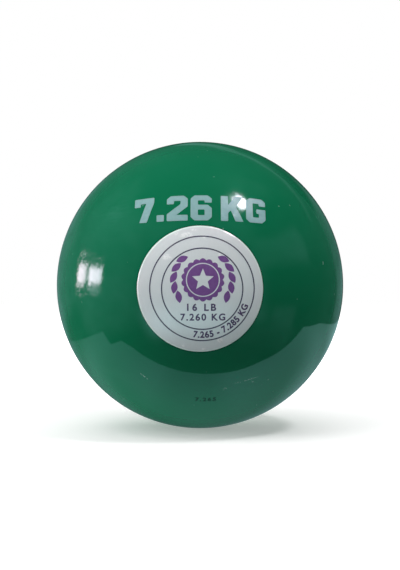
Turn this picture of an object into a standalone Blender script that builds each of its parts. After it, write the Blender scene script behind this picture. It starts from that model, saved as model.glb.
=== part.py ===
"""A shot for the shot put: a turned cast-iron ball, brought to weight with lead in a plugged bore.

Metres, +Z up. The ball's centre is the origin, the round label faces -Y, and the bore is drilled
towards the centre from the back of the ball, at +Y.
"""

import math

import bmesh
import bpy

# The ball
BALL_DIAMETER = 0.125

# The tapped bore, from its mouth inwards: a straight-walled recess, a 45 degree countersink, the
# full thread, and the plain hole that the tapping drill leaves
RECESS_WALL = 0.0009
COUNTERSINK = 0.0015
THREAD_DIAMETER = 0.020
THREAD_FORM = 0.00075  # radial depth of the thread's form
THREAD_SPARE = 0.0025  # thread left beyond the plug, so that the plug can bear on the wad
DRILL_POINT = math.radians(118)

# The screw plug, with a drilled and broached hexagon socket
PLUG_LENGTH = 0.016
PLUG_CHAMFER = 0.0012
SOCKET_FLATS = 0.010
SOCKET_DEPTH = 0.009
SOCKET_MOUTH = 0.0006  # chamfer round the socket's mouth
SOCKET_POINT = math.radians(120)

# The trim weight, and the wad between it and the plug
CHARGE_LENGTH = 0.028
CHARGE_DISH = 0.0006  # how far the lead's face sank as it set
DISC_COUNT = 3
DISC_THICKNESS = 0.002
DISC_BURR = 0.0003  # the edge that rolls over where a disc is punched from sheet
WAD_THICKNESS = 0.008
WAD_CHAMFER = 0.0008

# The round label: the film is cut flat to this diameter and laid on the ball
LABEL_DIAMETER = 0.050
LABEL_FILM = 0.0002
LABEL_DROP = math.radians(1.44)  # how far below the middle of the ball it was stuck

# The gap between two pieces that touch
SEAT_GAP = 0.0003

# Facets: around a turned piece, and the angle that one facet spans along a sphere
BALL_STEPS = 72
BORE_STEPS = 48
LABEL_STEPS = 64
BALL_FACET = math.radians(5)
DOME_FACET = math.radians(2.5)
LABEL_FACET = math.radians(3)
SHARP_EDGE = math.radians(28)

# Radii that follow
BALL_RADIUS = BALL_DIAMETER / 2
THREAD_RADIUS = THREAD_DIAMETER / 2
DRILL_RADIUS = THREAD_RADIUS - THREAD_FORM
RECESS_RADIUS = THREAD_RADIUS + COUNTERSINK
FILL_RADIUS = DRILL_RADIUS - SEAT_GAP

# Heights along the bore's axis, counted outwards from the ball's centre
RIM_Z = math.sqrt(BALL_RADIUS**2 - RECESS_RADIUS**2)
RECESS_Z = RIM_Z - RECESS_WALL
PLUG_TOP_Z = RECESS_Z - COUNTERSINK
PLUG_END_Z = PLUG_TOP_Z - PLUG_LENGTH
THREAD_END_Z = PLUG_END_Z - THREAD_SPARE
WAD_TOP_Z = PLUG_END_Z - SEAT_GAP
DISC_TOP_Z = WAD_TOP_Z - WAD_THICKNESS - SEAT_GAP
CHARGE_TOP_Z = DISC_TOP_Z - DISC_COUNT * (DISC_THICKNESS + SEAT_GAP)
CHARGE_END_Z = CHARGE_TOP_Z - CHARGE_LENGTH
CHARGE_TIP_Z = CHARGE_END_Z - FILL_RADIUS / math.tan(DRILL_POINT / 2)
BORE_TIP_Z = CHARGE_TIP_Z - SEAT_GAP / math.sin(DRILL_POINT / 2)
BORE_END_Z = BORE_TIP_Z + DRILL_RADIUS / math.tan(DRILL_POINT / 2)


def clear_scene():
    for thing in list(bpy.data.objects):
        bpy.data.objects.remove(thing, do_unlink=True)


def new_collection(name):
    collection = bpy.data.collections.new(name)
    bpy.context.scene.collection.children.link(collection)
    return collection


def axis_empty(name, collection, rotation):
    """An empty at the ball's centre, whose +Z points out of the ball where a feature lies."""
    empty = bpy.data.objects.new(name, None)
    empty.empty_display_size = BALL_RADIUS
    empty.rotation_euler = rotation
    collection.objects.link(empty)
    return empty


def finish_material(name, colour, roughness, metallic):
    material = bpy.data.materials.new(name)
    material.use_nodes = True
    shader = material.node_tree.nodes["Principled BSDF"]
    shader.inputs["Base Color"].default_value = (*colour, 1.0)
    shader.inputs["Roughness"].default_value = roughness
    shader.inputs["Metallic"].default_value = metallic
    return material


def arc(radius, start, end, facet):
    """(radius, height) points on a circle about the centre, from one polar angle to another."""
    count = max(1, math.ceil(abs(end - start) / facet - 1e-6))
    angles = [start + (end - start) * i / count for i in range(count + 1)]
    return [(radius * math.sin(a), radius * math.cos(a)) for a in angles]


def on_axis(height):
    return (0.0, height)


def turned(name, profile, steps, collection, parent):
    """Turns a profile about Z. It starts and ends on the axis and runs down its outer side."""
    mesh = bpy.data.meshes.new(name)
    corners = [(radius, 0.0, height) for radius, height in profile]
    mesh.from_pydata(corners, [(i, i + 1) for i in range(len(corners) - 1)], [])
    piece = bpy.data.objects.new(name, mesh)
    collection.objects.link(piece)
    piece.parent = parent
    screw = piece.modifiers.new("Turned", "SCREW")
    screw.axis = "Z"
    screw.steps = steps
    screw.render_steps = steps
    screw.use_merge_vertices = True
    screw.merge_threshold = 1e-6
    return piece


def hexagon(name, flats, top, bottom, collection, parent):
    """A six-sided bar on the axis, sized across its flats."""
    mesh = bpy.data.meshes.new(name)
    shape = bmesh.new()
    corner_radius = flats / math.sqrt(3)
    bmesh.ops.create_cone(
        shape,
        cap_ends=True,
        segments=6,
        radius1=corner_radius,
        radius2=corner_radius,
        depth=top - bottom,
    )
    bmesh.ops.translate(shape, verts=shape.verts, vec=(0, 0, (top + bottom) / 2))
    shape.to_mesh(mesh)
    shape.free()
    bar = bpy.data.objects.new(name, mesh)
    collection.objects.link(bar)
    bar.parent = parent
    return bar


def as_helper(piece):
    piece.hide_render = True
    piece.display_type = "WIRE"
    return piece


def combine(piece, other, operation):
    boolean = piece.modifiers.new(operation.title(), "BOOLEAN")
    boolean.operation = operation
    boolean.solver = "EXACT"
    boolean.object = other


def settle(piece, material):
    """Makes the piece's modifiers its mesh, smooth except along real edges, in one finish."""
    bpy.context.view_layer.update()
    graph = bpy.context.evaluated_depsgraph_get()
    mesh = bpy.data.meshes.new_from_object(piece.evaluated_get(graph))
    mesh.name = piece.name
    piece.modifiers.clear()
    piece.data = mesh
    mesh.shade_smooth()
    mesh.set_sharp_from_angle(angle=SHARP_EDGE)
    mesh.materials.clear()
    mesh.materials.append(material)
    return piece


def iron_ball(parts, bore_axis):
    """The turned ball. Its profile climbs the bore from the drill point and then rounds the ball."""
    rim_angle = math.asin(RECESS_RADIUS / BALL_RADIUS)
    profile = [
        on_axis(BORE_TIP_Z),
        (DRILL_RADIUS, BORE_END_Z),
        (DRILL_RADIUS, THREAD_END_Z - THREAD_FORM),
        (THREAD_RADIUS, THREAD_END_Z),
        (THREAD_RADIUS, PLUG_TOP_Z),
        (RECESS_RADIUS, RECESS_Z),
    ]
    profile += arc(BALL_RADIUS, rim_angle, math.pi / 2, BALL_FACET)
    profile += arc(BALL_RADIUS, math.pi / 2, math.pi, BALL_FACET)[1:-1]
    profile.append(on_axis(-BALL_RADIUS))
    ball = turned("iron_ball", profile, BALL_STEPS, parts, bore_axis)
    settle(ball, finish_material("green_paint", (0.012, 0.15, 0.075), 0.3, 0.0))


def lead_charge(parts, bore_axis):
    """Lead poured into the end of the bore, with the drill point's cone below and a sunken face."""
    profile = [
        on_axis(CHARGE_TOP_Z - CHARGE_DISH),
        (FILL_RADIUS / 2, CHARGE_TOP_Z - CHARGE_DISH * 0.75),
        (FILL_RADIUS, CHARGE_TOP_Z),
        (FILL_RADIUS, CHARGE_END_Z),
        on_axis(CHARGE_TIP_Z),
    ]
    charge = turned("lead_charge", profile, BORE_STEPS, parts, bore_axis)
    settle(charge, finish_material("cast_lead", (0.17, 0.18, 0.2), 0.6, 0.9))


def trim_discs(parts, bore_axis):
    """Discs punched from lead sheet, dropped in one by one until the ball is on weight."""
    lead_sheet = finish_material("lead_sheet", (0.24, 0.25, 0.27), 0.45, 0.9)
    for number in range(DISC_COUNT):
        top = DISC_TOP_Z - number * (DISC_THICKNESS + SEAT_GAP)
        bottom = top - DISC_THICKNESS
        profile = [
            on_axis(top),
            (FILL_RADIUS - DISC_BURR, top),
            (FILL_RADIUS, top - DISC_BURR),
            (FILL_RADIUS, bottom),
            on_axis(bottom),
        ]
        disc = turned(f"trim_disc_{number + 1}", profile, BORE_STEPS, parts, bore_axis)
        settle(disc, lead_sheet)


def cork_wad(parts, bore_axis):
    """The wad takes up the bore's free length, so that no lead can move."""
    bottom = WAD_TOP_Z - WAD_THICKNESS
    profile = [
        on_axis(WAD_TOP_Z),
        (FILL_RADIUS - WAD_CHAMFER, WAD_TOP_Z),
        (FILL_RADIUS, WAD_TOP_Z - WAD_CHAMFER),
        (FILL_RADIUS, bottom + WAD_CHAMFER),
        (FILL_RADIUS - WAD_CHAMFER, bottom),
        on_axis(bottom),
    ]
    wad = turned("cork_wad", profile, BORE_STEPS, parts, bore_axis)
    settle(wad, finish_material("cork", (0.4, 0.24, 0.12), 0.9, 0.0))


def threaded_plug(parts, cutters, bore_axis):
    """A headless screw plug. Its socket is drilled to a point, broached and chamfered."""
    radius = THREAD_RADIUS - SEAT_GAP
    profile = [
        on_axis(PLUG_TOP_Z),
        (radius - PLUG_CHAMFER, PLUG_TOP_Z),
        (radius, PLUG_TOP_Z - PLUG_CHAMFER),
        (radius, PLUG_END_Z + PLUG_CHAMFER),
        (radius - PLUG_CHAMFER, PLUG_END_Z),
        on_axis(PLUG_END_Z),
    ]
    plug = turned("threaded_plug", profile, BORE_STEPS, parts, bore_axis)

    pilot_radius = SOCKET_FLATS / 2
    corner_radius = SOCKET_FLATS / math.sqrt(3)
    floor = PLUG_TOP_Z - SOCKET_DEPTH
    above = PLUG_TOP_Z + PLUG_CHAMFER
    pilot_profile = [
        on_axis(above),
        (corner_radius + SOCKET_MOUTH + PLUG_CHAMFER, above),
        (corner_radius, PLUG_TOP_Z - SOCKET_MOUTH),
        (pilot_radius, PLUG_TOP_Z - SOCKET_MOUTH - (corner_radius - pilot_radius)),
        (pilot_radius, floor),
        on_axis(floor - pilot_radius / math.tan(SOCKET_POINT / 2)),
    ]
    pilot = turned("socket_pilot", pilot_profile, BORE_STEPS, cutters, bore_axis)
    broach = hexagon("socket_broach", SOCKET_FLATS, above, floor, cutters, bore_axis)
    combine(plug, as_helper(pilot), "DIFFERENCE")
    combine(plug, as_helper(broach), "DIFFERENCE")
    settle(plug, finish_material("plain_steel", (0.5, 0.5, 0.5), 0.35, 1.0))


def socket_filler(parts, cutters, bore_axis):
    """Filler over the plug: flush with the ball, keyed into the countersink and the socket."""
    side = RECESS_RADIUS - SEAT_GAP
    bottom = PLUG_TOP_Z + SEAT_GAP
    slant = SEAT_GAP * (math.sqrt(2) - 1)
    spigot_radius = SOCKET_FLATS / 2 - SEAT_GAP
    spigot_end = PLUG_TOP_Z - SOCKET_DEPTH + SEAT_GAP
    profile = arc(BALL_RADIUS, 0, math.asin(side / BALL_RADIUS), DOME_FACET)
    profile[0] = on_axis(BALL_RADIUS)
    profile += [
        (side, RECESS_Z + slant),
        (THREAD_RADIUS - slant, bottom),
        (spigot_radius, bottom),
        (spigot_radius, spigot_end),
        on_axis(spigot_end - spigot_radius / math.tan(SOCKET_POINT / 2)),
    ]
    filler = turned("socket_filler", profile, BORE_STEPS, parts, bore_axis)
    key = hexagon(
        "socket_key",
        SOCKET_FLATS - 2 * SEAT_GAP,
        bottom + SEAT_GAP,
        spigot_end,
        cutters,
        bore_axis,
    )
    combine(filler, as_helper(key), "UNION")
    settle(filler, finish_material("painted_filler", (0.012, 0.15, 0.075), 0.35, 0.0))


def front_label(parts, label_axis):
    """A round film label that follows the ball."""
    half_angle = LABEL_DIAMETER / 2 / BALL_RADIUS
    back = BALL_RADIUS + SEAT_GAP
    front = back + LABEL_FILM
    outer = arc(front, 0, half_angle, LABEL_FACET)
    inner = arc(back, half_angle, 0, LABEL_FACET)
    profile = [on_axis(front), *outer[1:], *inner[:-1], on_axis(back)]
    label = turned("front_label", profile, LABEL_STEPS, parts, label_axis)
    settle(label, finish_material("silver_film", (0.55, 0.58, 0.6), 0.4, 0.2))


def build():
    clear_scene()
    parts = new_collection("shot_put_ball")
    cutters = new_collection("cutters")
    quarter_turn = math.pi / 2
    bore_axis = axis_empty("bore_axis", parts, (-quarter_turn, 0, 0))
    label_axis = axis_empty("label_axis", parts, (quarter_turn + LABEL_DROP, 0, 0))
    iron_ball(parts, bore_axis)
    lead_charge(parts, bore_axis)
    trim_discs(parts, bore_axis)
    cork_wad(parts, bore_axis)
    threaded_plug(parts, cutters, bore_axis)
    socket_filler(parts, cutters, bore_axis)
    front_label(parts, label_axis)


build()
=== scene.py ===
from math import asin, atan2, ceil, cos, exp, hypot, pi, radians, sin, sqrt, tan

import bmesh
import bpy
from mathutils import Matrix, Vector


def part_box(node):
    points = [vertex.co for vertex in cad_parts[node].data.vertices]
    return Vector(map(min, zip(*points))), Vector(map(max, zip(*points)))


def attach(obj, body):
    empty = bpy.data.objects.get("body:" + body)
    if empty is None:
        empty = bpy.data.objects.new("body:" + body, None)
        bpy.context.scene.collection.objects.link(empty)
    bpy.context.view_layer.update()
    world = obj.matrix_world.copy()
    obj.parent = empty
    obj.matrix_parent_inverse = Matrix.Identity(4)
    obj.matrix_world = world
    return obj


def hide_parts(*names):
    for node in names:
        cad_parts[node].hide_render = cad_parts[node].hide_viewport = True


# A shot for the shot put: green gloss paint, a silver label on the front, a plugged bore at the back.
# Metres, +Z up. The label faces -Y, where the camera stands, and the bore opens at +Y.

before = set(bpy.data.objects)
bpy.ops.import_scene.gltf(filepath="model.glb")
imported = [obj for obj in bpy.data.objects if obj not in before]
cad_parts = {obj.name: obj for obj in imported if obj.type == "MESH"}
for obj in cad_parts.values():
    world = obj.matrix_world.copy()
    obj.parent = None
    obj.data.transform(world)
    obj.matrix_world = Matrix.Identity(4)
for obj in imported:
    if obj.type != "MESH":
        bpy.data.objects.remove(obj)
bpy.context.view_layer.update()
mm = 0.001
touching = 1e-7  # metres, within which two points are one

ballLow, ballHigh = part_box("iron_ball")
ballRadius = (ballHigh.x - ballLow.x) / 2
print("frame loaded, ball radius", round(ballRadius / mm, 2), "mm")


# Directions from the ball's centre, in degrees: azimuth 0 is the camera's side and 90 is +X

def towards(azimuth, elevation):
    a = radians(azimuth)
    e = radians(elevation)
    return Vector((sin(a) * cos(e), -cos(a) * cos(e), sin(e)))


def facing(azimuth, elevation):  # turns x right, y up, z out of the ball into the scene's axes
    out = towards(azimuth, elevation)
    right = Vector((cos(radians(azimuth)), sin(radians(azimuth)), 0))
    up = out.cross(right)
    return Matrix((right, up, out)).transposed()


# Shader graphs

class Wire:  # one output of a node, so that shader maths reads as sums and products
    def __init__(self, board, socket, node):
        self.board = board
        self.socket = socket
        self.node = node

    def other(self, name):  # another output of the same node
        return Wire(self.board, self.node.outputs[name], self.node)

    def maths(self, operation, *values):
        return self.board.add("ShaderNodeMath", {"operation": operation}, values)

    def __add__(self, other):
        return self.maths("ADD", self, other)

    def __sub__(self, other):
        return self.maths("SUBTRACT", self, other)

    def __rsub__(self, other):
        return self.maths("SUBTRACT", other, self)

    def __mul__(self, other):
        return self.maths("MULTIPLY", self, other)

    def __truediv__(self, other):
        return self.maths("DIVIDE", self, other)

    def either(self, other):
        return self.maths("MAXIMUM", self, other)

    def size(self):
        return self.maths("ABSOLUTE", self)

    def rise(self, low, high):  # 0 below low, 1 above high, and smooth between
        values = {"Value": self, "From Min": low, "From Max": high}
        return self.board.add("ShaderNodeMapRange", {"interpolation_type": "SMOOTHSTEP"}, values)

    def fall(self, low, high):
        return 1 - self.rise(low, high)


class Board:  # the node tree of one material or of the world
    def __init__(self, owner):
        owner.use_nodes = True
        self.tree = owner.node_tree
        self.tree.nodes.clear()

    def add(self, kind, settings=None, values=(), out=0):
        node = self.tree.nodes.new(kind)
        for name, value in (settings or {}).items():
            setattr(node, name, value)
        pairs = values.items() if isinstance(values, dict) else enumerate(values)
        for socket, value in pairs:
            if isinstance(value, Wire):
                self.tree.links.new(value.socket, node.inputs[socket])
            else:
                node.inputs[socket].default_value = value
        return Wire(self, node.outputs[out], node) if node.outputs else None

    def mix(self, factor, first, second):  # colours, plain ones as red, green and blue
        values = {0: factor, 6: solid(first), 7: solid(second)}
        return self.add("ShaderNodeMix", {"data_type": "RGBA"}, values, out=2)

    def vector(self, operation, *values, out=0):
        return self.add("ShaderNodeVectorMath", {"operation": operation}, values, out=out)

    def place(self):  # object coordinates
        return self.add("ShaderNodeTexCoord", out=3)

    def flatPlace(self):  # x and y of the place, in ball radii
        parts = self.add("ShaderNodeSeparateXYZ", None, [self.place()])
        return parts / ballRadius, parts.other("Y") / ballRadius

    def spot(self, azimuth, elevation, radius, full):  # 1 round a point of the ball, 0 from its radius on
        middle = towards(azimuth, elevation) * ballRadius
        return (self.vector("DISTANCE", self.place(), middle, out=1) / radius).fall(full, 1.0)

    def ownMap(self):  # the piece's own UV map
        return self.add("ShaderNodeTexCoord", out=2)

    def noise(self, where, scale, detail, stir=0.0):
        values = {"Vector": where, "Scale": scale, "Detail": detail, "Distortion": stir}
        return self.add("ShaderNodeTexNoise", None, values)

    def bump(self, height, depth, below=None):
        values = {"Distance": depth, "Height": height}
        if below is not None:
            values["Normal"] = below
        return self.add("ShaderNodeBump", None, values)

    def finish(self, values, kind="ShaderNodeBsdfPrincipled"):
        shader = self.add(kind, None, values)
        self.add("ShaderNodeOutputMaterial", None, {"Surface": shader})


def solid(colour):
    return colour if isinstance(colour, Wire) else (*colour, 1.0)


def strongest(masks):
    total = masks[0]
    for mask in masks[1:]:
        total = total.either(mask)
    return total


def newMaterial(name):
    material = bpy.data.materials.new(name)
    return material, Board(material)


# Meshes

def newObject(name, data):
    item = bpy.data.objects.new(name, data)
    bpy.context.scene.collection.objects.link(item)
    return item


def outputPiece(name, bm, materials, sharp=60):  # sharp: from this many degrees on
    mesh = bpy.data.meshes.new(name)
    bm.to_mesh(mesh)
    bm.free()
    for material in materials:
        mesh.materials.append(material)
    mesh.shade_smooth()
    mesh.set_sharp_from_angle(angle=radians(sharp))
    piece = newObject(name, mesh)
    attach(piece, "root")
    print("made", name, "with", len(mesh.polygons), "faces")
    return piece


def spinProfile(profile, steps):  # (radius, height) points turned about Z
    bm = bmesh.new()
    corners = [bm.verts.new((radius, 0, height)) for radius, height in profile]
    edges = [bm.edges.new(pair) for pair in zip(corners, corners[1:])]
    bmesh.ops.spin(bm, geom=corners + edges, cent=(0, 0, 0), axis=(0, 0, 1), angle=2 * pi,
                   steps=steps, use_merge=True, use_duplicate=False)
    bmesh.ops.remove_doubles(bm, verts=bm.verts, dist=touching)
    bmesh.ops.recalc_face_normals(bm, faces=bm.faces)
    return bm


def arcPoints(radius, start, end, count):  # polar angles from the axis, in radians
    angles = [start + (end - start) * i / count for i in range(count + 1)]
    return [(radius * sin(a), radius * cos(a)) for a in angles]


def layAlongBore(bm):  # what was turned with its +Z up then has it out of the back of the ball
    bmesh.ops.rotate(bm, cent=(0, 0, 0), matrix=Matrix.Rotation(-pi / 2, 3, "X"), verts=bm.verts)


def softCorners(outline, radius, steps=4):  # the corners of a flat outline rounded with short curves
    rounded = []
    count = len(outline)
    for i, corner in enumerate(outline):
        here = Vector(corner)
        before = Vector(outline[i - 1]) - here
        after = Vector(outline[(i + 1) % count]) - here
        reach = min(radius, before.length * 0.45, after.length * 0.45)
        start = here + before.normalized() * reach
        end = here + after.normalized() * reach
        for step in range(steps + 1):
            t = step / steps
            rounded.append(start.lerp(here, t).lerp(here.lerp(end, t), t))
    return rounded


def meshOfCurve(curve):
    holder = newObject("holder", curve)
    bpy.context.view_layer.update()
    mesh = bpy.data.meshes.new_from_object(holder.evaluated_get(bpy.context.evaluated_depsgraph_get()))
    bm = bmesh.new()
    bm.from_mesh(mesh)
    bmesh.ops.remove_doubles(bm, verts=bm.verts, dist=touching)
    bpy.data.objects.remove(holder)
    bpy.data.meshes.remove(mesh)
    return bm


def closeSlivers(bm):  # welds near points, then takes out faces that fold over their neighbours
    sliver = 0.001 * mm
    bmesh.ops.remove_doubles(bm, verts=bm.verts, dist=sliver)
    bmesh.ops.dissolve_degenerate(bm, dist=sliver, edges=bm.edges)
    folded = {min(edge.link_faces, key=lambda face: face.calc_area())
              for edge in bm.edges if len(edge.link_faces) > 2}
    bmesh.ops.delete(bm, geom=list(folded), context="FACES")


def flatShapes(outlines):  # closed outlines, filled; one inside another is a hole
    curve = bpy.data.curves.new("flat", "CURVE")
    curve.dimensions = "2D"
    curve.fill_mode = "BOTH"
    for outline in outlines:
        spline = curve.splines.new("POLY")
        spline.points.add(len(outline) - 1)
        for point, (x, y) in zip(spline.points, outline):
            point.co = (x, y, 0, 1)
        spline.use_cyclic_u = True
    return meshOfCurve(curve)


def flatText(words, height, weight, spacing):  # centred on its middle; height is a capital's
    curve = bpy.data.curves.new("words", "FONT")
    curve.body = words
    curve.offset = weight
    curve.space_character = spacing
    curve.fill_mode = "BOTH"
    curve.resolution_u = 6
    bm = meshOfCurve(curve)
    xs = [v.co.x for v in bm.verts]
    ys = [v.co.y for v in bm.verts]
    middle = ((min(xs) + max(xs)) / 2, (min(ys) + max(ys)) / 2)
    bmesh.ops.translate(bm, verts=bm.verts, vec=(-middle[0], -middle[1], 0))
    size = height / (max(ys) - min(ys))
    bmesh.ops.scale(bm, verts=bm.verts, vec=(size, size, size))
    closeSlivers(bm)
    return bm


def cutInCells(bm, cell=1.0 * mm):  # cuts a flat shape along a grid, so that it can follow the ball
    for axis in (0, 1):
        along = Vector((1 - axis, axis, 0))
        spread = [v.co[axis] for v in bm.verts]
        low = min(spread)
        for i in range(1, ceil((max(spread) - low) / cell)):
            geometry = [*bm.verts, *bm.edges, *bm.faces]
            point = along * (low + i * cell)
            bmesh.ops.bisect_plane(bm, geom=geometry, plane_co=point, plane_no=along, dist=touching / 10)
    closeSlivers(bm)


def thicken(bm, depth):  # a closed slab from z = 0 to z = depth
    bmesh.ops.recalc_face_normals(bm, faces=bm.faces)
    if sum(face.normal.z for face in bm.faces) > 0:
        bmesh.ops.reverse_faces(bm, faces=bm.faces)
    made = bmesh.ops.extrude_face_region(bm, geom=list(bm.faces), use_keep_orig=True)
    raised = [item for item in made["geom"] if isinstance(item, bmesh.types.BMVert)]
    bmesh.ops.translate(bm, verts=raised, vec=(0, 0, depth))
    bmesh.ops.recalc_face_normals(bm, faces=bm.faces)


def wrapOnBall(bm, turn, base, shift=(0, 0)):  # x and y run along the ball, z stands on the base's radius
    for vert in bm.verts:
        x = vert.co.x + shift[0]
        y = vert.co.y + shift[1]
        reach = hypot(x, y)
        angle = reach / ballRadius
        share = sin(angle) / reach if reach > 0 else 1 / ballRadius
        out = Vector((x * share, y * share, cos(angle)))
        vert.co = turn @ out * (base(x, y) + vert.co.z)


# The paint. The ball is sprayed, so its gloss has a faint orange peel and a little dust and haze.

labelDrop = 1.44  # degrees by which the label sits below the ball's middle; a painted shade ring darkens the paint round it

paintLook = {
    "green": (0.0025, 0.152, 0.065),
    "deepGreen": (0.002, 0.139, 0.06),
    "driftScale": 9,  # per metre, as all scales here
    "haze": (0.022, 0.195, 0.112),
    "hazeScale": 26,
    "hazeAmount": 0.13,
    "chalk": (0.24, 0.42, 0.35),
    "roughness": 0.055,
    "hazeRoughness": 0.1,
    "mirrorTint": (0.7, 1.0, 1.0),
    "peelScale": 1100,
    "peelDepth": 0.0000022,
    "waveScale": 70,
    "waveDepth": 0.000006,
    # smeared haze: azimuth, elevation and radius
    "smears": [(-40, 26, 15 * mm), (22, -41, 8 * mm), (120, 30, 14 * mm), (-150, -8, 18 * mm),
               (160, 12, 13 * mm), (-95, 50, 12 * mm), (75, -35, 14 * mm)],
    "smearAmount": 0.2,
    "smearScale": 120,
    "ringScale": 420,  # turning rings about the bore's axis
    "ringDepth": 0.000002,
    # scratches: azimuth, elevation, turn in degrees, half length and half width
    "scuffs": [(21.5, -37.4, 19, 6.0 * mm, 0.42 * mm), (12.0, -41.4, 40, 1.1 * mm, 0.8 * mm),
               (25.5, -38.2, -20, 1.3 * mm, 0.5 * mm), (-26.6, -35.0, -45, 1.7 * mm, 0.6 * mm),
               (-25.2, -36.4, -25, 1.1 * mm, 0.5 * mm), (54, 8.2, 80, 0.8 * mm, 0.45 * mm),
               (7.1, 43.5, 0, 0.5 * mm, 0.4 * mm), (-50, 11.2, 15, 1.8 * mm, 0.7 * mm),
               (133, 24, 35, 6 * mm, 0.5 * mm), (128, 20, 50, 2 * mm, 0.8 * mm),
               (-118, -22, -20, 7 * mm, 0.4 * mm), (-160, 38, 70, 4 * mm, 0.6 * mm),
               (158, -35, 15, 5 * mm, 0.6 * mm), (96, -46, -60, 4 * mm, 0.5 * mm)],
    "scuffGrain": 1500,
    "scuffAmount": 0.6,
    "scuffRoughness": 0.35,
    "dustScale": 620,
    "dustAmount": 0.35,
    # painted shade: a thin darker ring on the paint just outside the label, where the film's edge would
    # shade it
    "edgeShade": (0.0015, 0.06, 0.03),
    "edgeShadeAmount": 0.75,
    "edgeShadeFrom": 24.9,  # mm from the label's middle, straight through the ball
    "edgeShadeTo": 25.7,
}


def paintMaterial(name, look):
    material, board = newMaterial(name)
    where = board.place()
    cloud = board.noise(where, look["hazeScale"], 4, 0.6).rise(0.5, 0.74)
    drift = board.noise(where, look["driftScale"], 2)

    def scratch(azimuth, elevation, turn, halfLength, halfWidth):
        axes = facing(azimuth, elevation) @ Matrix.Rotation(radians(turn), 3, "Z")
        along, across, out = [board.vector("DOT_PRODUCT", where, axis, out=1) for axis in axes.transposed()]
        line = (along / halfLength).size().fall(0.6, 1.0) * (across / halfWidth).size().fall(0.3, 1.0)
        return line * (out / ballRadius).rise(0.7, 0.8)

    scratched = strongest([scratch(*scuff) for scuff in look["scuffs"]])
    fleck = scratched * board.noise(where, look["scuffGrain"], 2).rise(0.47, 0.56)
    turned = {"Vector": where, "Rotation": (0, 0.6, 0.3), "Scale": (1, 1, 4)}
    streaks = board.noise(board.add("ShaderNodeMapping", None, turned), look["smearScale"], 6, 0.9)
    smear = strongest([board.spot(*place, 0.1) for place in look["smears"]]) * streaks.rise(0.44, 0.66)
    dust = board.noise(where, look["dustScale"], 0).rise(0.86, 0.9)
    colour = board.mix(drift.rise(0.3, 0.7), look["deepGreen"], look["green"])
    colour = board.mix(cloud * look["hazeAmount"] + smear * look["smearAmount"], colour, look["haze"])
    # painted shade ring round the label's edge, darker on the paint just outside the film
    chord = board.vector("DISTANCE", where, towards(0, -labelDrop) * ballRadius, out=1) / mm
    start = look["edgeShadeFrom"]
    edgeShade = chord.rise(start - 0.5, start) * chord.fall(start, look["edgeShadeTo"])
    colour = board.mix(edgeShade * look["edgeShadeAmount"], colour, look["edgeShade"])
    colour = board.mix(fleck * look["scuffAmount"] + dust * look["dustAmount"], colour, look["chalk"])
    hazeRise = look["hazeRoughness"] - look["roughness"]
    roughness = (cloud + smear) * hazeRise + fleck * look["scuffRoughness"] + look["roughness"]
    flattened = board.vector("MULTIPLY", where, (0, 1, 0))
    rings = board.bump(board.noise(flattened, look["ringScale"], 3), look["ringDepth"])
    peel = board.bump(board.noise(where, look["peelScale"], 1), look["peelDepth"], rings)
    wave = board.bump(board.noise(where, look["waveScale"], 1), look["waveDepth"], peel)
    board.finish({
        "Base Color": colour,
        "Roughness": roughness,
        "IOR": 1.5,
        "Specular Tint": solid(look["mirrorTint"]),
        "Normal": wave,
    })
    return material


greenPaint = paintMaterial("greenPaint", paintLook)

ironLook = {
    "light": (0.3, 0.29, 0.28),
    "dark": (0.17, 0.165, 0.16),
    "roughness": 0.42,
    "grooveScale": 9000,
    "grooveDepth": 0.00001,
}


def machinedMaterial(name, look):  # fine turning marks across the bore's axis
    material, board = newMaterial(name)
    where = board.place()
    stretched = board.vector("MULTIPLY", where, (0.02, 1.0, 0.02))
    grooves = board.noise(stretched, look["grooveScale"], 3)
    stain = board.noise(where, 260, 4).rise(0.42, 0.66)
    colour = board.mix(stain * 0.7 + grooves * 0.3, look["light"], look["dark"])
    board.finish({
        "Base Color": colour,
        "Metallic": 1.0,
        "Roughness": stain * 0.18 + look["roughness"],
        "Normal": board.bump(grooves, look["grooveDepth"]),
    })
    return material


boreIron = machinedMaterial("boreIron", ironLook)
print("paint and bare iron mixed")


# The ball and its tapped bore. What lies in the bore gives its sizes.

boreLook = {
    "gap": 0.3 * mm,
    "recessWall": 0.9 * mm,
    "mouthEdge": 0.12 * mm,
    "edgeBow": 0.3,  # where the middle of a rounded edge lies, as a share of its width
    "pitch": 1.5 * mm,
    "rowsInPitch": 8,
    "form": 0.75 * mm,
    "flatShare": 0.1,  # of the pitch, at the thread's crest and at its root
    "fade": 1.2 * mm,
    "spare": 2.5 * mm,
    "drillPoint": 118,
    # the plug's hexagon socket
    "flats": 10 * mm,
    "socketDepth": 9 * mm,
    "socketPoint": 120,
}
ballLook = {"rows": 150, "steps": 240, "sharp": 40}

plugLow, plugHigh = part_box("threaded_plug")
fillerLow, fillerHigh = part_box("socket_filler")
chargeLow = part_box("lead_charge")[0]
threadRadius = plugHigh.x + boreLook["gap"]
recessRadius = fillerHigh.x + boreLook["gap"]
drillRadius = threadRadius - boreLook["form"]
rimHeight = sqrt(ballRadius**2 - recessRadius**2)
seatHeight = rimHeight - boreLook["recessWall"]
threadTop = plugHigh.y
threadEnd = plugLow.y - boreLook["spare"]


def threadForm(angle, height):  # 0 at the thread's inner edge, 1 at its outer edge
    turn = (height / boreLook["pitch"] - angle / (2 * pi)) % 1
    flat = boreLook["flatShare"]
    return min(1, max(0, (1 - abs(2 * turn - 1) - flat) / (1 - 2 * flat)))


def cutThread(bm, low, high, inner, outer, ending):  # ending: shapes the radius near the thread's ends
    for vert in bm.verts:
        radius = vert.co.xy.length
        inRange = low - touching <= vert.co.z <= high + touching
        onWall = inner - boreLook["form"] / 2 < radius < outer + boreLook["form"] / 2
        if inRange and onWall:
            form = inner + (outer - inner) * threadForm(atan2(vert.co.y, vert.co.x), vert.co.z)
            vert.co.xy *= ending(form, vert.co.z) / radius


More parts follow.
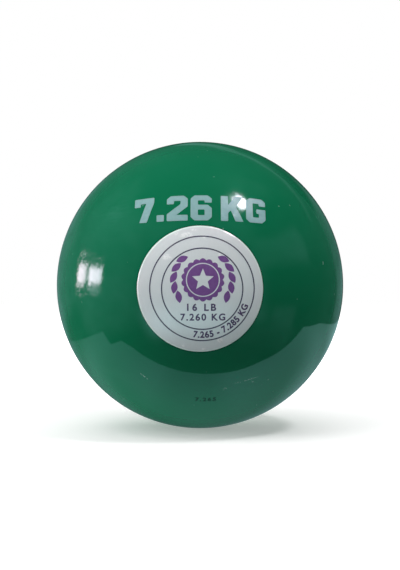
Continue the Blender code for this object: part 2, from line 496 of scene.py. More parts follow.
def threadWall(radius, start, end):  # points close enough along the wall to carry a thread
    rows = ceil(abs(end - start) / boreLook["pitch"] * boreLook["rowsInPitch"])
    return [(radius, start + (end - start) * i / rows) for i in range(rows + 1)]


def runOut(form, height):  # the bore's thread widens at its mouth and fades out at its end
    above = min(1, (threadTop - height) / boreLook["fade"])
    below = min(1, (height - threadEnd) / boreLook["fade"])
    form = threadRadius + (form - threadRadius) * above
    return drillRadius + (form - drillRadius) * below


def paintedBall(look):
    half = radians(boreLook["drillPoint"] / 2)
    tip = chargeLow.y - boreLook["gap"] / sin(half)
    edge = boreLook["mouthEdge"]
    bow = edge * boreLook["edgeBow"]
    profile = [(0, tip), (drillRadius, tip + drillRadius / tan(half))]
    profile += [(drillRadius, threadEnd - boreLook["form"]), *threadWall(threadRadius, threadEnd, threadTop)]
    profile += [(recessRadius, seatHeight), (recessRadius, rimHeight - edge)]
    profile.append((recessRadius + bow, rimHeight - bow))
    mouth = asin((recessRadius + edge) / ballRadius)
    profile += arcPoints(ballRadius, mouth, pi, look["rows"])
    profile[-1] = (0, -ballRadius)
    bm = spinProfile(profile, look["steps"])
    cutThread(bm, threadEnd, threadTop, drillRadius, threadRadius, runOut)
    for face in bm.faces:
        middle = face.calc_center_median()
        inBore = middle.xy.length < recessRadius and middle.z > tip
        face.material_index = 1 if inBore else 0
    layAlongBore(bm)
    ball = outputPiece("paintedBall", bm, [greenPaint, boreIron], look["sharp"])
    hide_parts("iron_ball")


paintedBall(ballLook)


def toHexagon(bm, low, high, limit, half):  # pushes the rings between two heights out to a hexagon
    sixth = pi / 3
    for vert in bm.verts:
        radius = vert.co.xy.length
        if low - touching <= vert.co.z <= high + touching and touching < radius < limit:
            angle = atan2(vert.co.y, vert.co.x)
            side = half / cos((angle + sixth / 2) % sixth - sixth / 2)
            vert.co.xy *= side / radius


fillerLook = {
    "edge": 0.12 * mm,
    "sink": 0.03 * mm,  # how far the filler shrank as it cured
    "clear": 0.04 * mm,  # what is left of the joint under the paint
    "seatStep": 0.05 * mm,
    "threadStep": 0.1 * mm,
    "keyFillet": (0.8 * mm, 0.05 * mm),  # width and height where the key meets the disc
    "keyEnd": (0.2 * mm, 0.12 * mm),  # the same at the key's end
    "rows": 16,
    "steps": 144,
    "sharp": 40,
    "paste": (0.46, 0.43, 0.34),
    "pores": (0.24, 0.22, 0.17),
}


def pasteMaterial(look):
    material, board = newMaterial("fillerPaste")
    where = board.place()
    pores = board.noise(where, 1400, 3).rise(0.6, 0.7)
    drift = board.noise(where, 180, 3)
    colour = board.mix(pores * 0.7 + drift * 0.3, look["paste"], look["pores"])
    board.finish({
        "Base Color": colour,
        "Roughness": drift * 0.2 + 0.6,
        "Normal": board.bump(drift - pores, 0.00004),
    })
    return material


def fillerDome(look):
    top = ballRadius - look["sink"]
    side = recessRadius - look["clear"]
    sideTop = sqrt(top**2 - side**2)
    bottom = threadTop + boreLook["gap"]
    half = boreLook["flats"] / 2 - boreLook["gap"]
    keyEnd = threadTop - boreLook["socketDepth"] + boreLook["gap"]
    bow = look["edge"] * boreLook["edgeBow"]
    filletWidth, filletHeight = look["keyFillet"]
    endWidth, endHeight = look["keyEnd"]
    profile = arcPoints(top, 0, asin((side - look["edge"]) / ballRadius), look["rows"])
    profile[0] = (0, top)
    profile += [(side - bow, sideTop - bow), (side, sideTop - look["edge"])]
    profile += [(side, seatHeight + look["seatStep"]), (threadRadius - look["threadStep"], bottom)]
    profile += [(half + filletWidth, bottom), (half, bottom - filletHeight)]
    profile += [(half, keyEnd), (half - endWidth, keyEnd - endHeight), (0, fillerLow.y)]
    bm = spinProfile(profile, look["steps"])
    toHexagon(bm, keyEnd, bottom - filletHeight, half + filletWidth / 2, half)
    for face in bm.faces:
        painted = face.calc_center_median().length > top - look["edge"]
        face.material_index = 0 if painted else 1
    layAlongBore(bm)
    return outputPiece("fillerDome", bm, [greenPaint, pasteMaterial(look)], look["sharp"])


filler = fillerDome(fillerLook)
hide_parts("socket_filler")
print("ball and filler turned")


# The label: a silver film with its print, laid on the ball by hand

labelLook = {
    "radius": 25 * mm,
    "film": 0.24 * mm,
    "edge": 0.18 * mm,
    "edgeShare": 0.35,  # of the film's height, at its very edge
    "under": 0.02 * mm,  # the adhesive
    "rows": 70,
    "steps": 240,
    "sharp": 50,
    "silver": (0.845, 0.87, 0.885),
    "shade": (0.765, 0.79, 0.81),
    # a painted highlight: a pale line all along the film's edge
    "edgeHighlight": (0.84, 0.99, 0.92),
    "edgeWidth": 0.55 * mm,
    "roughness": 0.36,
    "bubbleGlint": (0.97, 0.99, 1.0),  # whiter where air lies under the film: a painted glint on the bubbles
    # air under the film: x, y, length, width and height in millimetres, and turn in degrees
    "bubbles": [(-5.5, 21.2, 2.1, 0.75, 0.085, 12), (1.6, 20.3, 0.5, 0.7, 0.07, 80),
                (-3.4, 20.6, 0.7, 0.4, 0.06, -20), (-13.0, 12.4, 1.3, 0.9, 0.085, 20),
                (-11.4, 12.0, 0.5, 0.4, 0.06, 0), (7.8, 13.4, 0.9, 0.8, 0.07, 0),
                (7.9, -20.2, 1.1, 0.9, 0.08, 30), (-6.6, -22.4, 0.6, 0.5, 0.06, -30),
                (1.4, -23.8, 0.7, 0.4, 0.07, 0), (-2.4, 23.2, 1.2, 0.45, 0.07, -10),
                (-9.4, 21.6, 0.8, 0.45, 0.065, 35), (17.2, 12.0, 0.6, 0.4, 0.05, -40)],
}
labelTurn = facing(0, -labelDrop)


def airUnder(x, y):  # how far the air lifts the film at a point of the label, in millimetres
    lift = 0.0
    for across, along, length, width, height, turn in labelLook["bubbles"]:
        a = radians(turn)
        dx = x / mm - across
        dy = y / mm - along
        u = (dx * cos(a) + dy * sin(a)) / length
        v = (dy * cos(a) - dx * sin(a)) / width
        lift += height * exp(-(u * u + v * v))
    return lift


def filmHeight(x, y):  # radius of the film's face
    return ballRadius + labelLook["film"] + airUnder(x, y) * mm


def onBall(x, y):
    return ballRadius


def labelMaterial(look):
    material, board = newMaterial("silverFilm")
    where = board.place()
    middle = board.vector("DISTANCE", board.ownMap(), (0.5, 0.5, 0), out=1) * (2 * look["radius"] / mm)
    edge = (look["radius"] - look["edgeWidth"]) / mm
    rim = middle.rise(edge - 0.15, edge + 0.1)
    streaks = board.noise(board.vector("MULTIPLY", where, (1.0, 1.0, 0.25)), 1300, 3)
    cloud = board.noise(where, 120, 4)
    tone = board.mix(streaks * 0.7 + cloud * 0.3, look["silver"], look["shade"])
    air = board.add("ShaderNodeAttribute", {"attribute_name": "airUnder"}, out="Fac")
    # the film drawn whiter where air lifts it: a painted glint on the bubbles
    bubbleGlint = (air * 16).rise(0.1, 0.7) * board.noise(where, 1500, 3).rise(0.34, 0.52)
    tone = board.mix(bubbleGlint, tone, look["bubbleGlint"])
    # painted highlight along the film's edge
    colour = board.mix(rim * 0.75, tone, look["edgeHighlight"])
    board.finish({
        "Base Color": colour,
        "Metallic": 0.15 - bubbleGlint * 0.15,
        "Roughness": cloud * 0.12 + (look["roughness"] - 0.06),
        "Coat Weight": 0.35,
        "Coat Roughness": 0.14,
        "Normal": board.bump(board.noise(where, 1600, 2), 0.0000025),
    })
    return material


def labelFilm(look):
    profile = [(look["radius"] * i / look["rows"], 0) for i in range(look["rows"] + 1)]
    bm = spinProfile(profile, look["steps"])
    layer = bm.loops.layers.uv.new("labelMap")
    for face in bm.faces:
        for loop in face.loops:
            spot = loop.vert.co / (2 * look["radius"])
            loop[layer].uv = (spot.x + 0.5, spot.y + 0.5)
    air = bm.verts.layers.float.new("airUnder")
    for vert in bm.verts:
        vert[air] = airUnder(vert.co.x, vert.co.y)
    thicken(bm, 1)  # a metre, to tell the face from the underside
    share = look["edgeShare"]
    for vert in bm.verts:
        inward = look["radius"] - vert.co.xy.length
        rounding = min(1, max(0, inward / look["edge"]))
        full = filmHeight(vert.co.x, vert.co.y) - ballRadius
        height = full * (share + (1 - share) * sqrt(rounding * (2 - rounding)))
        vert.co.z = height if vert.co.z > 0.5 else look["under"]
    wrapOnBall(bm, labelTurn, onBall)
    return outputPiece("labelFilm", bm, [labelMaterial(look)], look["sharp"])


label = labelFilm(labelLook)
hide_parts("front_label")


# Inks. Each printed piece is a thin slab that follows what it is printed on.

def inkMaterial(name, look):
    material, board = newMaterial(name)
    where = board.place()
    mottle = board.noise(where, 700, 3)
    colour = board.mix(mottle.rise(0.35, 0.7), look["colour"], look["thin"])
    values = {
        "Base Color": colour,
        "Roughness": mottle * 0.2 + (look["roughness"] - 0.1),
        "IOR": look.get("ior", 1.5),
        "Normal": board.bump(mottle, 0.000003),
    }
    if "worn" in look:
        worn = board.spot(*look["worn"], 0.2)
        values["Alpha"] = (worn * 0.75 + board.noise(where, 1300, 3) * 0.55).fall(0.62, 0.8)
    board.finish(values)
    return material


def joinMeshes(parts):
    joined = bmesh.new()
    for part in parts:
        mesh = bpy.data.meshes.new("part")
        part.to_mesh(mesh)
        part.free()
        joined.from_mesh(mesh)
        bpy.data.meshes.remove(mesh)
    return joined


inkLift = 0.012 * mm
inkDepth = 0.02 * mm


def onFilm(x, y):
    return filmHeight(x, y) + inkLift


def onPaint(x, y):
    return ballRadius + inkLift


ringLook = {
    "colour": (0.045, 0.038, 0.085),
    "thin": (0.065, 0.056, 0.11),
    "roughness": 0.4,
    "width": 0.48 * mm,
    "outer": (20.4 * mm, 0.8 * mm, 0.19 * mm),  # radius and centre
    "inner": (15.7 * mm, 0.86 * mm, 0.08 * mm),
    "steps": 160,
}


def labelRings(look):
    rings = []
    for radius, x, y in (look["outer"], look["inner"]):
        half = look["width"] / 2
        bm = spinProfile([(radius - half, 0), (radius + half, 0)], look["steps"])
        thicken(bm, inkDepth)
        wrapOnBall(bm, labelTurn, onFilm, (x, y))
        rings.append(bm)
    return outputPiece("labelRings", joinMeshes(rings), [inkMaterial("ringInk", look)])


labelRings(ringLook)

sealLook = {
    "colour": (0.185, 0.066, 0.275),
    "thin": (0.205, 0.08, 0.3),
    "roughness": 0.38,
    "centre": (1.1 * mm, 3.55 * mm),
    "radius": 8.3 * mm,
    "scallops": 18,
    "scallopDepth": 0.045,
    "ringRadius": 6.5 * mm,
    "ringWidth": 0.42 * mm,
    "starOuter": 4.4 * mm,
    "starInner": 1.95 * mm,
    "starCorner": 0.25 * mm,
    "sprigRadius": 11.3 * mm,
    "leafLength": 4.9 * mm,
    "leafWidth": 2.5 * mm,
    "leafAngles": [-35, -15, 5, 25, 45],
    "leafLean": 24,  # degrees outwards from the sprig's circle
    "leafSteps": 10,
}


def roundOutline(radii, start=0.0):  # points at equal turns about the middle, each at its own radius
    turns = [start + 2 * pi * i / len(radii) for i in range(len(radii))]
    return [(radius * cos(turn), radius * sin(turn)) for radius, turn in zip(radii, turns)]


def rosette(look):
    radii = []
    steps = look["scallops"] * 10
    for i in range(steps):
        wave = abs(sin(2 * pi * i / steps * look["scallops"] / 2))
        radii.append(look["radius"] * (1 - look["scallopDepth"] * 2 * (1 - wave)))
    return roundOutline(radii)


def leaf(look, side, angle):  # pointed at both ends, laid along the sprig's circle
    half = look["leafLength"] / 2
    steps = look["leafSteps"]
    outline = []
    for way in (1, -1):
        for i in range(steps):
            t = way * (-1 + 2 * i / steps)
            bulge = way * look["leafWidth"] / 2 * (1 - t * t)
            outline.append((half * t, bulge))
    spin = Matrix.Rotation(radians(angle + 90 + look["leafLean"]), 2)
    middle = Vector((cos(radians(angle)), sin(radians(angle)))) * look["sprigRadius"]
    points = [spin @ Vector(point) + middle for point in outline]
    return [(side * point.x, point.y) for point in points]


def labelSeal(look):
    ringOuter = roundOutline([look["ringRadius"]] * 64)
    ringInner = roundOutline([look["ringRadius"] - look["ringWidth"]] * 64)
    star = roundOutline([look["starOuter"], look["starInner"]] * 5, pi / 2)
    outlines = [rosette(look), ringOuter, ringInner, softCorners(star, look["starCorner"])]
    for side in (1, -1):
        for angle in look["leafAngles"]:
            outlines.append(leaf(look, side, angle))
    bm = flatShapes(outlines)
    cutInCells(bm)
    thicken(bm, inkDepth)
    wrapOnBall(bm, labelTurn, onFilm, look["centre"])
    return outputPiece("labelSeal", bm, [inkMaterial("sealInk", look)])


labelSeal(sealLook)

numberLook = {
    "colour": (0.07, 0.036, 0.115),
    "thin": (0.095, 0.056, 0.145),
    "roughness": 0.4,
    # words, capital height, weight, spacing, x and y
    "lines": [("16 LB", 2.9 * mm, 0.03, 1.4, 0.6 * mm, -6.95 * mm),
              ("7.260 KG", 2.85 * mm, 0.028, 1.25, 1.1 * mm, -10.8 * mm)],
    "arcWords": "7.265 - 7.285 KG",
    "arcHeight": 2.85 * mm,
    "arcWeight": 0.038,
    "arcSpacing": 1.1,
    "arcRadius": 19.4 * mm,
    "arcMiddle": -60.5,
}


def bendRoundRing(bm, radius, middle):  # letters stand on a circle, their feet outwards
    for vert in bm.verts:
        turn = radians(middle) + vert.co.x / radius
        reach = radius - vert.co.y
        vert.co.x = reach * cos(turn)
        vert.co.y = reach * sin(turn)


def labelNumbers(look):
    parts = []
    for words, height, weight, spacing, x, y in look["lines"]:
        bm = flatText(words, height, weight, spacing)
        thicken(bm, inkDepth)
        wrapOnBall(bm, labelTurn, onFilm, (x, y))
        parts.append(bm)
    bm = flatText(look["arcWords"], look["arcHeight"], look["arcWeight"], look["arcSpacing"])
    bmesh.ops.translate(bm, verts=bm.verts, vec=(0, look["arcHeight"] / 2, 0))
    bendRoundRing(bm, look["arcRadius"], look["arcMiddle"])
    thicken(bm, inkDepth)
    wrapOnBall(bm, labelTurn, onFilm, ringLook["outer"][1:])
    parts.append(bm)
    return outputPiece("labelNumbers", joinMeshes(parts), [inkMaterial("numberInk", look)])


labelNumbers(numberLook)
print("label laid and printed")


# The weight, screen printed above the label in heavy block figures

printLook = {
    "colour": (0.24, 0.42, 0.43),
    "thin": (0.216, 0.39, 0.4),
    "roughness": 0.42,
    "worn": (-27, 22.5, 5 * mm),
    "elevation": 28.9,
    "capital": 11.6 * mm,
    "widen": 1.02,
    "space": 0.095,
    "wordSpace": 0.3,
    "corner": 0.035,
    "bow": 2.4,  # per metre: how much the line of print rises towards its ends along the ball
    "depth": 0.03 * mm,
    "words": "7.26 KG",
}

# Block figures on a capital height of 1: the width, and the outlines, of which an inner one is a hole
blockFigures = {
    "7": (0.7, [[(0, 1), (0.7, 1), (0.7, 0.78), (0.45, 0), (0.18, 0), (0.42, 0.77), (0.22, 0.77),
                  (0.22, 0.64), (0, 0.64)]]),
    ".": (0.25, [[(0, 0), (0.25, 0), (0.25, 0.25), (0, 0.25)]]),
    "2": (0.7, [[(0, 0), (0.7, 0), (0.7, 0.22), (0.32, 0.22), (0.7, 0.55), (0.7, 0.87),
                  (0.57, 1), (0.13, 1), (0, 0.87), (0, 0.66), (0.24, 0.66), (0.24, 0.79),
                  (0.46, 0.79), (0.46, 0.65), (0, 0.26)]]),
    "6": (0.7, [[(0.13, 0), (0.57, 0), (0.7, 0.13), (0.7, 0.48), (0.57, 0.61), (0.24, 0.61),
                  (0.24, 0.79), (0.46, 0.79), (0.46, 0.7), (0.7, 0.7), (0.7, 0.87), (0.57, 1),
                  (0.13, 1), (0, 0.87), (0, 0.13)],
                 [(0.24, 0.2), (0.24, 0.42), (0.46, 0.42), (0.46, 0.2)]]),
    "K": (0.76, [[(0, 0), (0.24, 0), (0.24, 0.31), (0.33, 0.42), (0.49, 0), (0.76, 0), (0.51, 0.58),
                  (0.75, 1), (0.48, 1), (0.24, 0.62), (0.24, 1), (0, 1)]]),
    "G": (0.7, [[(0.13, 0), (0.57, 0), (0.7, 0.13), (0.7, 0.55), (0.37, 0.55), (0.37, 0.37),
                  (0.46, 0.37), (0.46, 0.21), (0.24, 0.21), (0.24, 0.79), (0.46, 0.79),
                  (0.46, 0.69), (0.7, 0.69), (0.7, 0.87), (0.57, 1), (0.13, 1), (0, 0.87),
                  (0, 0.13)]]),
}


def weightPrint(look):
    outlines = []
    pen = 0.0
    for figure in look["words"]:
        if figure == " ":
            pen += look["wordSpace"] - look["space"]
            continue
        width, shapes = blockFigures[figure]
        for shape in shapes:
            outlines.append([(x + pen, y - 0.5) for x, y in softCorners(shape, look["corner"])])
        pen += width + look["space"]
    middle = (pen - look["space"]) / 2
    scale = look["capital"]
    wide = scale * look["widen"]
    bm = flatShapes([[((x - middle) * wide, y * scale) for x, y in outline] for outline in outlines])
    cutInCells(bm)
    thicken(bm, look["depth"])
    for vert in bm.verts:
        vert.co.y += look["bow"] * vert.co.x**2
    wrapOnBall(bm, facing(0, look["elevation"]), onPaint)
    return outputPiece("weightPrint", bm, [inkMaterial("printInk", look)])


weightPrint(printLook)

# the weight figures punched into the iron under the paint, drawn as a dark slab on the paint: painted shade
# in place of the shade in their grooves
stampLook = {
    "colour": (0.001, 0.066, 0.038),
    "thin": (0.001, 0.078, 0.045),
    "roughness": 0.45,
    "ior": 1.25,
    "words": "7.265",
    "capital": 2.5 * mm,
    "weight": 0.03,
    "spacing": 1.25,
    "azimuth": 3.0,
    "elevation": -47.3,
}


def weightStamp(look):
    bm = flatText(look["words"], look["capital"], look["weight"], look["spacing"])
    thicken(bm, inkDepth)
    wrapOnBall(bm, facing(look["azimuth"], look["elevation"]), onPaint)
    # painted groove shade, as a dark slab on the paint
    return outputPiece("weightStamp", bm, [inkMaterial("stampGrooveShade", look)])


weightStamp(stampLook)
print("weight printed and stamped")


# What the bore holds

steelLook = {
    "light": (0.52, 0.52, 0.51),
    "dark": (0.3, 0.3, 0.3),
    "roughness": 0.3,
    "grooveScale": 7000,
    "grooveDepth": 0.000006,
}
plugLook = {
    "mouth": 0.6 * mm,
    "chamfer": 1.2 * mm,
    "floorEdge": (0.15 * mm, 0.05 * mm),  # width and height round the socket's floor
    "steps": 240,
    "sharp": 35,
}
leadLook = {"fresh": (0.3, 0.31, 0.33), "dull": (0.13, 0.135, 0.15), "roughness": 0.55, "grain": 420}
sheetLook = {"fresh": (0.34, 0.35, 0.37), "dull": (0.2, 0.205, 0.22), "roughness": 0.42, "grain": 150}
corkLook = {"light": (0.5, 0.3, 0.15), "dark": (0.22, 0.11, 0.05), "crumb": 700}


def leadMaterial(name, look):
    material, board = newMaterial(name)
    where = board.place()
    bloom = board.noise(where, look["grain"], 5, 0.8)
    crystals = board.add("ShaderNodeTexVoronoi", None, {"Vector": where, "Scale": look["grain"] * 1.6})
    colour = board.mix(bloom.rise(0.35, 0.65), look["fresh"], look["dull"])
    board.finish({
        "Base Color": colour,
        "Metallic": 0.9,
        "Roughness": bloom * 0.25 + (look["roughness"] - 0.1),
        "Normal": board.bump(bloom + crystals * 0.5, 0.00003),
    })
    return material


def corkMaterial(look):
    material, board = newMaterial("cork")
    where = board.place()
    cells = {"Vector": where, "Scale": look["crumb"]}
    crumbs = board.add("ShaderNodeTexVoronoi", None, cells, out=1)
    shade = board.vector("DOT_PRODUCT", crumbs, (0.4, 0.3, 0.3), out=1)
    gaps = board.add("ShaderNodeTexVoronoi", {"feature": "DISTANCE_TO_EDGE"}, cells)
    colour = board.mix(shade * 0.7 + gaps.fall(0.0, 0.12) * 0.5, look["light"], look["dark"])
    board.finish({
        "Base Color": colour,
        "Roughness": shade * 0.1 + 0.82,
        "Normal": board.bump(gaps.rise(0.0, 0.2), 0.0001),
    })
    return material


def dress(nodeName, material):
    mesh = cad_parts[nodeName].data
    mesh.materials.clear()
    mesh.materials.append(material)


def threadedPlug(look):  # a headless screw, its socket drilled, broached and chamfered
    outer = plugHigh.x
    inner = outer - boreLook["form"]
    end = plugLow.y
    half = boreLook["flats"] / 2
    corner = 2 * half / sqrt(3)
    floor = threadTop - boreLook["socketDepth"]
    mouth = threadTop - look["mouth"]
    tip = floor - half / tan(radians(boreLook["socketPoint"] / 2))
    edgeWidth, edgeHeight = look["floorEdge"]
    profile = [(0, tip), (half - edgeWidth, floor), (half, floor + edgeHeight)]
    profile += [(half, mouth), (corner + look["mouth"], threadTop)]
    profile += [*threadWall(outer - boreLook["form"] / 3, threadTop, end), (0, end)]
    bm = spinProfile(profile, look["steps"])

    def chamfered(form, height):
        return min(form, outer - look["chamfer"] + min(threadTop - height, height - end))

    cutThread(bm, end, threadTop, inner, outer, chamfered)
    toHexagon(bm, floor + edgeHeight, mouth, half + look["mouth"] / 2, half)
    for vert in bm.verts:  # the mouth's chamfer meets the flats in curves
        reach = vert.co.xy.length
        if abs(vert.co.z - mouth) < touching and reach < corner + look["mouth"] / 2:
            vert.co.z -= corner - reach
    layAlongBore(bm)
    steel = machinedMaterial("plainSteel", steelLook)
    return outputPiece("screwPlug", bm, [steel], look["sharp"])


plug = threadedPlug(plugLook)
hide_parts("threaded_plug")
leadSheet = leadMaterial("leadSheet", sheetLook)
dress("lead_charge", leadMaterial("castLead", leadLook))
for number in (1, 2, 3):
    dress(f"trim_disc_{number}", leadSheet)
dress("cork_wad", corkMaterial(corkLook))
print("bore filled")


# The studio: a pale floor, a pale table top that the gloss mirrors, a window, a bulb and soft light

cameraLook = {"distance": 0.475, "lens": 68.13}
floorLook = {
    "seen": (0.8, 0.8, 0.8),
    "seenGlow": 0.3,  # what the camera sees on top near the ball, and the rest of the way to white
    "farGlow": 1.0,
    "whiteFrom": (1.6, 5.0),  # in ball radii
    "bounce": (0.2, 0.2, 0.2),
    "bounceGlow": (0.34, 0.52, 0.9),  # everywhere under the ball, more to its left, more behind it
    "leftFrom": (-1, 1),
    "behindFrom": (-0.2, 1.2),
    "nearEdge": (-1.1, -0.75),
    "farEdge": (4, 7),
    "drop": 0.1 * mm,
    "size": 6.0,
}
tableLook = {
    # the card's corners in ball radii, seen from above
    "corners": [(-2.1, -0.66), (-1.5, -0.7), (-1.42, -0.99), (-1.1, -1.05), (0.1, -0.965), (0.8, -0.89),
                (1.93, -0.61), (2.47, -0.46), (3.16, 0.69), (3.94, 8.4), (4.5, 26), (-3.2, 26),
                (-2.45, 4.3), (-2.16, 0.27)],
    "tint": (0.58, 1.0, 1.04),
    "shadow": 0.095,  # what is left close to the ball and behind it
    "light": 0.86,
    # the light parts and where they dim: from where to where in ball radii, and by how much
    "front": (-0.85, -0.15, 1.0),
    "frontSides": (0.3, 1.5, 0.4),
    "right": (-0.3, 2.4, 0.85),
    "rightBack": (-0.1, 1.5, 0.58),
    "farRight": (1.8, 2.8, 0.2414),
    "left": (0.2, 1.7, 0.72),
    "leftBack": (-0.4, 1.0, 0.78),
    "farLeft": (2.0, 3.0, 0.45),
    "shadeUnderBall": (0.15, 0.45, 0.22),
}


def setUpCamera(look):
    data = bpy.data.cameras.new("camera")
    data.lens = look["lens"]
    camera = newObject("camera", data)
    camera.location = (0, -look["distance"], 0)
    camera.rotation_euler = (pi / 2, 0, 0)
    bpy.context.scene.camera = camera


def stagePlane(name, corners, height, material):
    bm = bmesh.new()
    bm.faces.new([bm.verts.new((x, y, height)) for x, y in corners])
    mesh = bpy.data.meshes.new(name)
    bm.to_mesh(mesh)
    bm.free()
    mesh.materials.append(material)
    plane = newObject(name, mesh)
    return plane


def setUpFloor(look):
    material, board = newMaterial("paleFloor")
    path = board.add("ShaderNodeLightPath", out="Is Camera Ray")
    x, y = board.flatPlace()
    away = board.vector("LENGTH", board.place(), out=1) / ballRadius
    white = away.rise(*look["whiteFrom"])
    seenGlow = white * (look["farGlow"] - look["seenGlow"]) + look["seenGlow"]
    everywhere, toLeft, behind = look["bounceGlow"]
    bounce = x.fall(*look["leftFrom"]) * toLeft + y.rise(*look["behindFrom"]) * behind + everywhere
    bounce = bounce * y.rise(*look["nearEdge"]) * away.fall(*look["farEdge"])
    colour = board.mix(path, look["bounce"], look["seen"])
    diffuse = board.add("ShaderNodeBsdfDiffuse", None, {"Color": colour})
    glow = board.add("ShaderNodeEmission", None, {"Strength": path * seenGlow + (1 - path) * bounce})
    board.finish([diffuse, glow], "ShaderNodeAddShader")
    half = look["size"] / 2
    square = [(-half, -half), (half, -half), (half, half), (-half, half)]
    floor = stagePlane("floor", square, -ballRadius - look["drop"], material)
    floor.visible_glossy = False


def setUpTable(look):  # only the gloss sees it; its glow is the lit table with the ball's contact shadow painted in
    material, board = newMaterial("tableTop")
    x, y = board.flatPlace()
    toLeft = 0 - x

    def part(name, along):
        start, end, amount = look[name]
        return along.rise(start, end) * amount

    # the glow dims towards the ball and behind it: painted contact shadow
    front = (1 - part("front", y)) * (1 - part("frontSides", x.size()))
    right = part("right", x) * (1 - part("rightBack", y) * (1 - part("farRight", x)))
    left = part("left", toLeft) * (1 - part("leftBack", y)) * (1 - part("farLeft", toLeft))
    level = 1 - (1 - front) * (1 - right) * (1 - left)
    # painted shadow: a darker strip of glow under the ball
    underBallShade = part("shadeUnderBall", (x + 0.08).size()) + (1 - look["shadeUnderBall"][2])
    level = level * underBallShade * look["light"] + look["shadow"]
    board.finish({"Color": solid(look["tint"]), "Strength": level}, "ShaderNodeEmission")
    corners = [(x * ballRadius, y * ballRadius) for x, y in look["corners"]]
    table = stagePlane("tableTop", corners, -ballRadius - floorLook["drop"] * 0.7, material)
    table.visible_camera = False
    table.visible_diffuse = False
    table.visible_shadow = False


# azimuth, elevation, distance, width, height and level. The gloss mirrors the room instead of them.
lamps = {
    "bulb": (56.8, 59.2, 1.5, 0.24, 0.3, 41),
    "window": (-95, 4.7, 1.5, 0.75, 0.28, 13.5),
    "softLeft": (-60, 45, 1.6, 1.4, 1.2, 2.5),
    "softTop": (-20, 78, 1.5, 1.4, 1.4, 1.85),
    "softFront": (0, 25, 1.6, 1.2, 1.0, 0.85),
    "softRight": (120, 12, 1.6, 1.2, 0.7, 1.9),
    "softBack": (180, 40, 1.6, 1.4, 1.2, 1.5),
}


def setUpLamps():
    for name, (azimuth, elevation, distance, width, height, level) in lamps.items():
        data = bpy.data.lights.new(name, "AREA")
        data.shape = "ELLIPSE" if name == "bulb" else "RECTANGLE"
        data.size = width
        data.size_y = height
        area = width * height * (pi / 4 if name == "bulb" else 1)
        data.energy = level * pi * area
        lamp = newObject(name, data)
        place = towards(azimuth, elevation) * distance
        lamp.location = place
        lamp.rotation_euler = (-place).to_track_quat("-Z", "Y").to_euler()
        lamp.visible_glossy = False


roomLook = {
    "fill": 0.02,  # what lights matt surfaces besides the lamps
    "base": 0.09,  # what the gloss mirrors of the room where nothing below is
    "tint": (0.58, 1.0, 1.04),
    "lightTint": (1.12, 0.79, 0.92),
    "cloudScale": 5.0,
    "cloudDepth": 0.5,
    "ragged": 13.0,  # degrees by which the orange peel scatters the edges of the lights
    "raggedScale": 80,
    "lean": -0.04,
    "shimmer": 0.8,  # how much the lights waver inside
    "sparkScale": 75,
    # azimuth, elevation, half width, half height, softness and tilt in degrees, and level
    "patches": {
        "ceiling": (0, 90, 180, 32, 24, 0, 0.13),
        "facingLabel": (5, 4, 44, 18, 20, 0, 0.5),
        "facingLow": (44, -28, 12, 14, 14, 0, 0.5),
        "leftHaze": (-138, 42, 24, 26, 22, 0, 0.14),
        "leftReach": (-112, 26, 14, 32, 18, 0, 0.29),
        "leftWall": (-78, 12, 32, 38, 20, 0, 0.4),
        "leftBand": (-80, 38, 24, 9, 12, 0, 0.52),
        "leftSill": (-80, -3, 20, 10, 12, 0, 0.52),
        "besideWindow": (-121, 3, 9, 9, 8, 0, 0.3),
        "underWindow": (-90, -2.6, 6, 2.6, 2.5, 0, 1.0),
        "frontLeft": (-30, 40, 22, 12, 20, 0, 0.34),
        "frontRight": (30, 40, 20, 12, 20, 0, 0.3),
        "lowFront": (-10, -34, 36, 16, 20, 0, 2.0),
        "rightWall": (72, 22, 26, 9, 10, 0, 0.36),
        "rightTop": (95, 64, 22, 10, 14, 0, 0.24),
        "backLeft": (-146, 5, 20, 14, 10, 0, 0.26),
        "rightStrip": (151, -2, 12, 7, 5, 0, 0.25),
        "rightStripTop": (153, 13, 16, 9, 6, 0, 0.165),
        "aboveStrip": (157, 26, 16, 5, 6, 0, 0.03),
        "behind": (175, 8, 13, 22, 8, 0, 0.045),
        # the thin edge of light along the ball's upper right
        "arcLow": (131, 30.2, 8.6, 1.7, 2.6, 31, 0.21),
        "arcMiddle": (145.5, 36.5, 8.6, 1.7, 2.6, 15, 0.26),
        "arcHigh": (162, 38.5, 10.0, 2.0, 3.0, 0, 0.29),
        "arcEnd": (177, 31.5, 10.0, 3.0, 3.5, -45, 0.25),
        "below": (0, -65, 70, 30, 20, 0, 0.14),
        "rightLow": (62, -32, 26, 8, 10, 0, 0.2),
        "rightSpot": (72, -20, 11, 7, 6, 0, 0.3),
        "overLabel": (-5, 37, 10, 5, 4, 0, 0.7),
    },
    "lights": {
        "leftPane": (-106.2, 5.2, 5.4, 4.4, 0.7, 0, 11.8),
        "rightPane": (-90.1, 5.2, 7.3, 4.3, 0.7, 0, 16.5),
        "sill": (-89.0, -2.2, 6.2, 2.4, 1.5, 0, 0.85),
        "bulb": (60.5, 60.6, 8.5, 4.3, 2.0, 0, 60),
    },
    "sparks": {
        "aroundWindow": (-99, 5.5, 16, 10, 6, 0, 14),
        "aroundBulb": (58, 60.5, 20, 8, 8, 0, 16),
    },
}


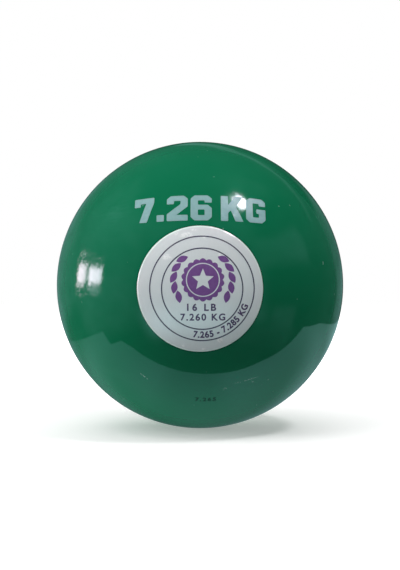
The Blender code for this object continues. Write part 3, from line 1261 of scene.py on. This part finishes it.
def setUpRoom(look):
    world = bpy.data.worlds.new("room")
    bpy.context.scene.world = world
    board = Board(world)
    direction = board.add("ShaderNodeTexCoord", out=0)
    x = board.add("ShaderNodeSeparateXYZ", None, [direction])
    degree = 180 / pi
    azimuth = x.maths("ARCTAN2", x, 0 - x.other("Y")) * degree
    elevation = x.maths("ARCSINE", x.other("Z")) * degree
    wander = board.noise(direction, look["raggedScale"], 1) - 0.5

    def patch(middle, height, halfWidth, halfHeight, soft, tilt, ragged=0.0, lean=0.0):
        shift = wander * ragged if ragged else 0.0
        around = azimuth.maths("WRAP", azimuth + shift - middle, 180, -180)
        up = elevation + shift - height
        c = cos(radians(tilt))
        s = sin(radians(tilt))
        across = (around * c + up * (s - lean)).size()
        upright = (up * c - around * s).size()
        inWidth = across.fall(halfWidth - soft / 2, halfWidth + soft / 2)
        return inWidth * upright.fall(halfHeight - soft / 2, halfHeight + soft / 2)

    level = look["base"]
    for *spot, brightness in look["patches"].values():
        mask = patch(*spot)
        level = (1 - mask) * level + mask * brightness
    stretched = board.vector("MULTIPLY", direction, (1.0, 1.0, 2.2))
    cloud = board.noise(stretched, look["cloudScale"], 4, 0.4) - 0.5
    level = level * (cloud * (2 * look["cloudDepth"]) + 1)
    shimmer = wander * look["shimmer"] + 1
    lights = 0.0
    for *spot, brightness in look["lights"].values():
        lights = patch(*spot, look["ragged"], look["lean"]) * brightness * shimmer + lights
    sparkle = board.noise(direction, look["sparkScale"], 2).rise(0.62, 0.67)
    for *spot, brightness in look["sparks"].values():
        lights = patch(*spot) * sparkle * brightness + lights

    def tinted(tint, brightness):
        return board.add("ShaderNodeVectorMath", {"operation": "SCALE"}, {0: tint, "Scale": brightness})

    mirrored = board.vector("ADD", tinted(look["tint"], level), tinted(look["lightTint"], lights))
    camera = board.add("ShaderNodeLightPath", out="Is Camera Ray")
    plain = board.mix(camera, [look["fill"]] * 3, (1, 1, 1))
    seen = board.mix(camera.other("Is Glossy Ray"), plain, mirrored)
    background = board.add("ShaderNodeBackground", None, {"Color": seen})
    board.add("ShaderNodeOutputWorld", None, {"Surface": background})


setUpCamera(cameraLook)
setUpFloor(floorLook)
setUpTable(tableLook)
setUpLamps()
setUpRoom(roomLook)
bpy.context.scene.view_settings.view_transform = "Standard"
print("studio ready")
